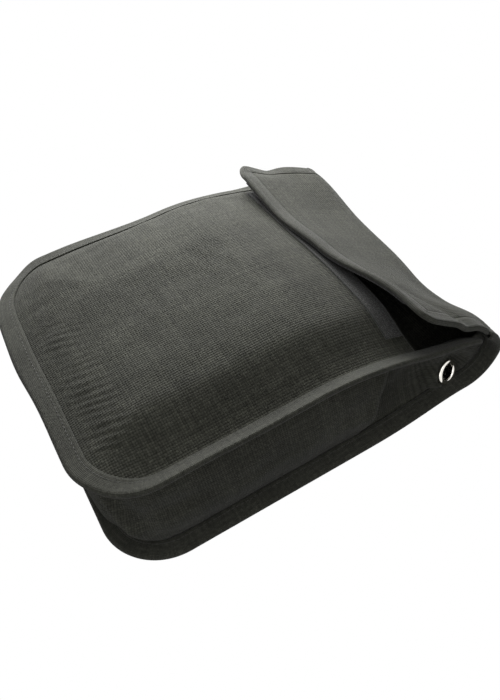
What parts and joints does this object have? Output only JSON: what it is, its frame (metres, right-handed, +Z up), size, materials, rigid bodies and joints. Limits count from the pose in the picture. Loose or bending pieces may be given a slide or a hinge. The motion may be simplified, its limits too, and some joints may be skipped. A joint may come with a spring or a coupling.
{
  "type": "fire blanket in a soft pouch",
  "caption": "Folded glass-fibre fire blanket in a dark canvas pouch with bound flanges, a gusset, a hook-and-loop flap and hanging eyelets, lying on its back.",
  "frame": {"origin": "on the floor, under the middle of the pouch as it lies on its back", "axes": "+X across the pouch, +Y from its bottom towards the flap's fold, +Z up through the front panel"},
  "size_m": [0.212, 0.2609, 0.0836],
  "materials": {
    "canvas": "charcoal plain-woven synthetic canvas, dull",
    "binding_tape": "charcoal woven tape folded over the edges, ribbed",
    "loop_pile": "black brushed loop pile",
    "hook_pile": "black nylon hooks on a woven tape",
    "nickel": "bright nickel plate on brass",
    "glass_cloth": "off-white satin-woven glass fibre",
    "webbing": "black woven webbing"
  },
  "bodies": {
    "pouch": {"back_panel": "canvas", "back_binding": "binding_tape", "gusset": "canvas", "front_panel": "canvas", "front_binding": "binding_tape", "mouth_hem": "canvas", "loop_strip": "loop_pile", "right_eyelet": "nickel", "right_eyelet_washer": "nickel", "left_eyelet": "nickel", "left_eyelet_washer": "nickel"},
    "flap": {"flap_panel": "canvas", "flap_binding": "binding_tape", "hook_strip": "hook_pile"},
    "blanket": {"blanket": "glass_cloth", "right_pull_tape": "webbing", "left_pull_tape": "webbing"}
  },
  "joints": [
    {"name": "flap_fold", "type": "hinge", "parent": "pouch", "child": "flap", "pos_m": [0, 0.11886, 0.04457], "axis": [-1, 0, 0], "range_deg": [-2, 160]},
    {"name": "blanket_pull", "type": "slide", "parent": "pouch", "child": "blanket", "axis": [0, 1, 0], "range_m": [0, 0.03]}
  ]
}
